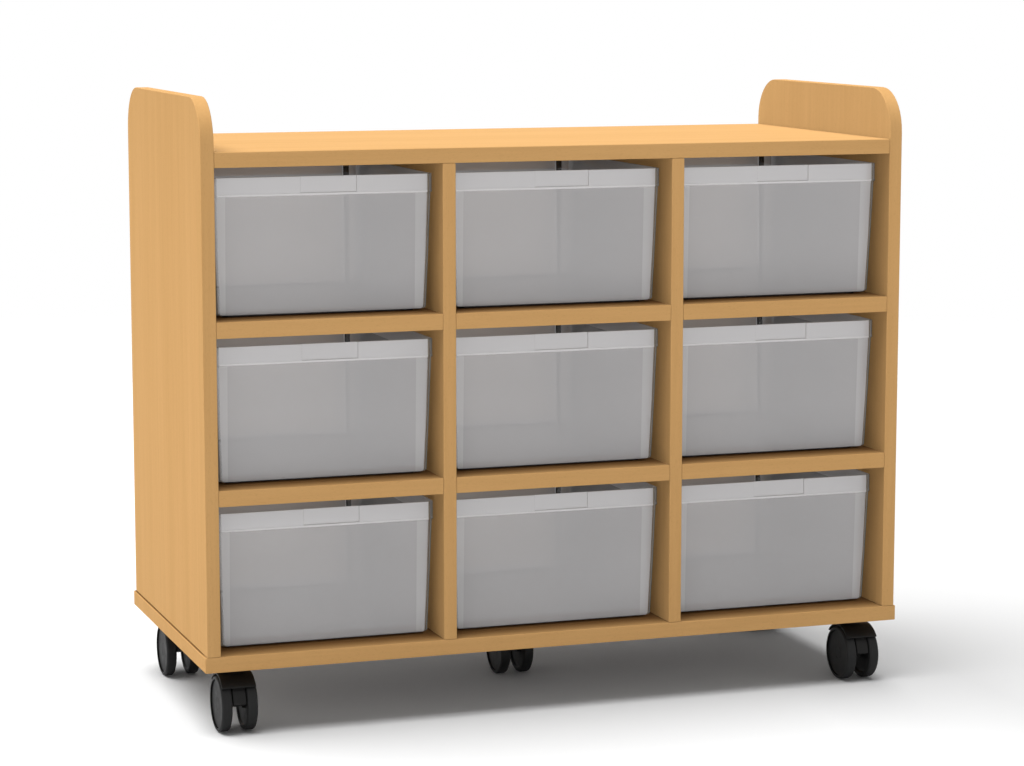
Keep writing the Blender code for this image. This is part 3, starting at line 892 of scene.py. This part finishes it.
def screw_layout():
    """Sets a screw at each corner of a square round every point, each turned its own way."""
    tree, start, end = new_group("plate_screws", "GeometryNodeTree",
                                 {"Plates": "Geometry", "Screw": "Object", "Spacing": "Float",
                                  "Seed": "Int", "Steel": "Material"}, {"Screws": "Geometry"})
    nodes, links = tree.nodes, tree.links
    square = node_with(nodes, "GeometryNodeMeshGrid", Vertices_X=2, Vertices_Y=2)
    squares = nodes.new("GeometryNodeInstanceOnPoints")
    places = nodes.new("GeometryNodeRealizeInstances")
    head = nodes.new("GeometryNodeObjectInfo")
    turn = node_with(nodes, "FunctionNodeRandomValue", data_type="FLOAT_VECTOR", Max=(0.0, 0.0, math.tau))
    heads = nodes.new("GeometryNodeInstanceOnPoints")
    plain = nodes.new("GeometryNodeRealizeInstances")
    dressed = nodes.new("GeometryNodeSetMaterial")
    for output, socket in ((start["Spacing"], square.inputs["Size X"]),
                           (start["Spacing"], square.inputs["Size Y"]),
                           (start["Plates"], squares.inputs["Points"]),
                           (square.outputs["Mesh"], squares.inputs["Instance"]),
                           (squares.outputs["Instances"], places.inputs["Geometry"]),
                           (places.outputs["Geometry"], heads.inputs["Points"]),
                           (start["Screw"], head.inputs["Object"]),
                           (head.outputs["Geometry"], heads.inputs["Instance"]),
                           (start["Seed"], turn.inputs["Seed"]),
                           (turn.outputs["Value"], heads.inputs["Rotation"]),
                           (heads.outputs["Instances"], plain.inputs["Geometry"]),
                           (plain.outputs["Geometry"], dressed.inputs["Geometry"]),
                           (start["Steel"], dressed.inputs["Material"]),
                           (dressed.outputs["Geometry"], end["Screws"])):
        links.new(output, socket)
    return tree


steel, shader, *_ = moulded("black_steel", dark=(0.045, 0.045, 0.047), light=(0.075, 0.075, 0.078),
                            cloud_size=0.006, grain_size=0.0004, smoothest=0.28, roughest=0.44, relief=0.12)
shader.inputs["Metallic"].default_value = 0.8
undersides = []
for castor in castors:
    low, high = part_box(f"castor_{castor}_plate")
    middle = (low + high) / 2
    undersides.append((middle.x, middle.y, low.z))
    flange_top = low.z - seat_gap
    placed(f"{castor}_plate", pierced_plate(high.x - low.x, high.z - low.z), [steel],
           Matrix.Translation(middle), "cabinet", "castor_steel", f"castor_{castor}_plate")
    low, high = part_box(f"castor_{castor}_kingpin")
    placed(f"{castor}_kingpin", kingpin(high.z, low.z, flange_top), [steel],
           Matrix.Translation((middle.x, middle.y, 0.0)), "cabinet", "castor_steel",
           f"castor_{castor}_kingpin")
    low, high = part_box(f"castor_{castor}_axle")
    placed(f"{castor}_axle", axle_rod(high.x - low.x, axle_radius), [steel],
           Matrix.Translation((low + high) / 2), f"castor_{castor}_swivel", "castor_steel",
           f"castor_{castor}_axle")

points = bpy.data.meshes.new("plate_points")
points.from_pydata(undersides, [], [])
holder = bpy.data.objects.new("plate_points", points)
screw = bpy.data.objects.new("screw", cross_screw())
modifier = holder.modifiers.new("screws", "NODES")
modifier.node_group = screw_layout()
values = {"Screw": screw, "Spacing": screw_spacing, "Seed": screw_seed, "Steel": steel}
for item in modifier.node_group.interface.items_tree:
    if item.in_out == "INPUT" and item.name in values:
        modifier[item.identifier] = values[item.name]
screws = made_plain([holder, screw])
screws.shade_smooth()
screws.set_sharp_from_angle(angle=screw_crease)
placed("plate_screws", screws, [], Matrix.Identity(4), "cabinet", "castor_steel")

low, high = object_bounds()
